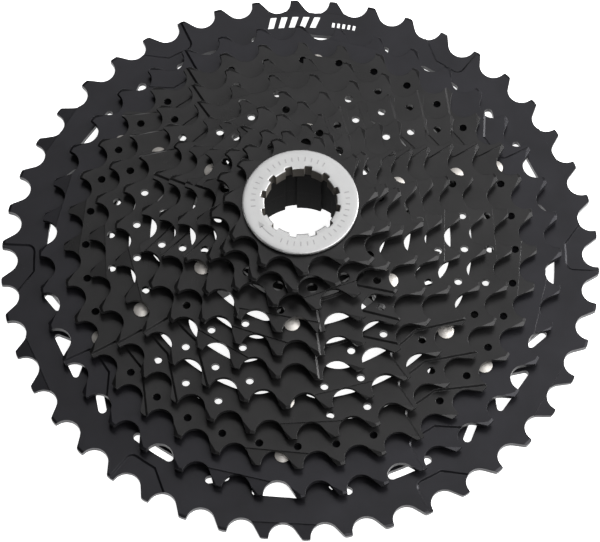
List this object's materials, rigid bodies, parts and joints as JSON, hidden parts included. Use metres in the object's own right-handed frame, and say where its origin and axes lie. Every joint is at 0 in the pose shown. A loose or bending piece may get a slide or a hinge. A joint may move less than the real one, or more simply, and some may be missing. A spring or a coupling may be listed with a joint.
{
  "type": "bicycle cassette",
  "caption": "Bicycle rear cassette: stacked toothed sprockets on riveted carriers, with loose spacers and a threaded lockring, for a splined freehub body.",
  "frame": {"origin": "on the hub axis, in the inner face of the largest sprocket", "axes": "+Z along the hub axis, outward from the largest sprocket to the lockring"},
  "size_m": [0.1886, 0.1886, 0.0411],
  "materials": {
    "black_alloy": "black anodised, satin",
    "black_steel": "black coated steel, satin",
    "carrier_alloy": "black anodised, satin",
    "rivet_steel": "plain steel, satin",
    "spacer_alloy": "black anodised, satin",
    "washer_steel": "dark steel, satin",
    "silver_alloy": "silver anodised, satin"
  },
  "bodies": {
    "large_cluster": {"sprocket_46t": "black_alloy", "sprocket_40t": "black_alloy", "sprocket_36t": "black_steel", "sprocket_32t": "black_steel", "large_carrier": "carrier_alloy", "outer_rivets": "rivet_steel", "middle_rivets": "rivet_steel", "collars_36_32": "rivet_steel"},
    "carrier_spacer": {"carrier_spacer": "spacer_alloy"},
    "small_cluster": {"sprocket_28t": "black_steel", "sprocket_24t": "black_steel", "sprocket_21t": "black_steel", "small_carrier": "carrier_alloy", "inner_rivets": "rivet_steel", "collars_24_21": "rivet_steel"},
    "spacer_21_18": {"spacer_21_18": "spacer_alloy"},
    "sprocket_18t": {"sprocket_18t": "black_steel"},
    "spacer_18_15": {"spacer_18_15": "spacer_alloy"},
    "sprocket_15t": {"sprocket_15t": "black_steel"},
    "sprocket_13t": {"sprocket_13t": "black_steel"},
    "sprocket_11t": {"sprocket_11t": "black_steel"},
    "lockring_washer": {"lockring_washer": "washer_steel"},
    "lockring": {"lockring": "silver_alloy"}
  },
  "joints": [
    {"name": "carrier_spacer_slide", "type": "slide", "parent": "large_cluster", "child": "carrier_spacer", "axis": [0, 0, 1], "range_m": [0, 0.0242]},
    {"name": "small_cluster_slide", "type": "slide", "parent": "carrier_spacer", "child": "small_cluster", "axis": [0, 0, 1], "range_m": [0, 0.0232]},
    {"name": "spacer_21_18_slide", "type": "slide", "parent": "small_cluster", "child": "spacer_21_18", "axis": [0, 0, 1], "range_m": [0, 0.01395]},
    {"name": "sprocket_18t_slide", "type": "slide", "parent": "spacer_21_18", "child": "sprocket_18t", "axis": [0, 0, 1], "range_m": [0, 0.01175]},
    {"name": "spacer_18_15_slide", "type": "slide", "parent": "sprocket_18t", "child": "spacer_18_15", "axis": [0, 0, 1], "range_m": [0, 0.01015]},
    {"name": "sprocket_15t_slide", "type": "slide", "parent": "spacer_18_15", "child": "sprocket_15t", "axis": [0, 0, 1], "range_m": [0, 0.008]},
    {"name": "sprocket_13t_slide", "type": "slide", "parent": "sprocket_15t", "child": "sprocket_13t", "axis": [0, 0, 1], "range_m": [0, 0.0064]},
    {"name": "sprocket_11t_slide", "type": "slide", "parent": "sprocket_13t", "child": "sprocket_11t", "axis": [0, 0, 1], "range_m": [0, 0.00265]},
    {"name": "lockring_lift", "type": "slide", "parent": "sprocket_11t", "child": "lockring_washer", "axis": [0, 0, 1], "range_m": [0, 0.0048]},
    {"name": "lockring_turn", "type": "hinge", "parent": "lockring_washer", "child": "lockring", "pos_m": [0, 0, 0.0399], "axis": [0, 0, 1], "range_deg": [0, 1728]}
  ],
  "couplings": [
    {"joint": "lockring_lift", "follows": "lockring_turn", "m_per_rad": 0.00015915}
  ]
}
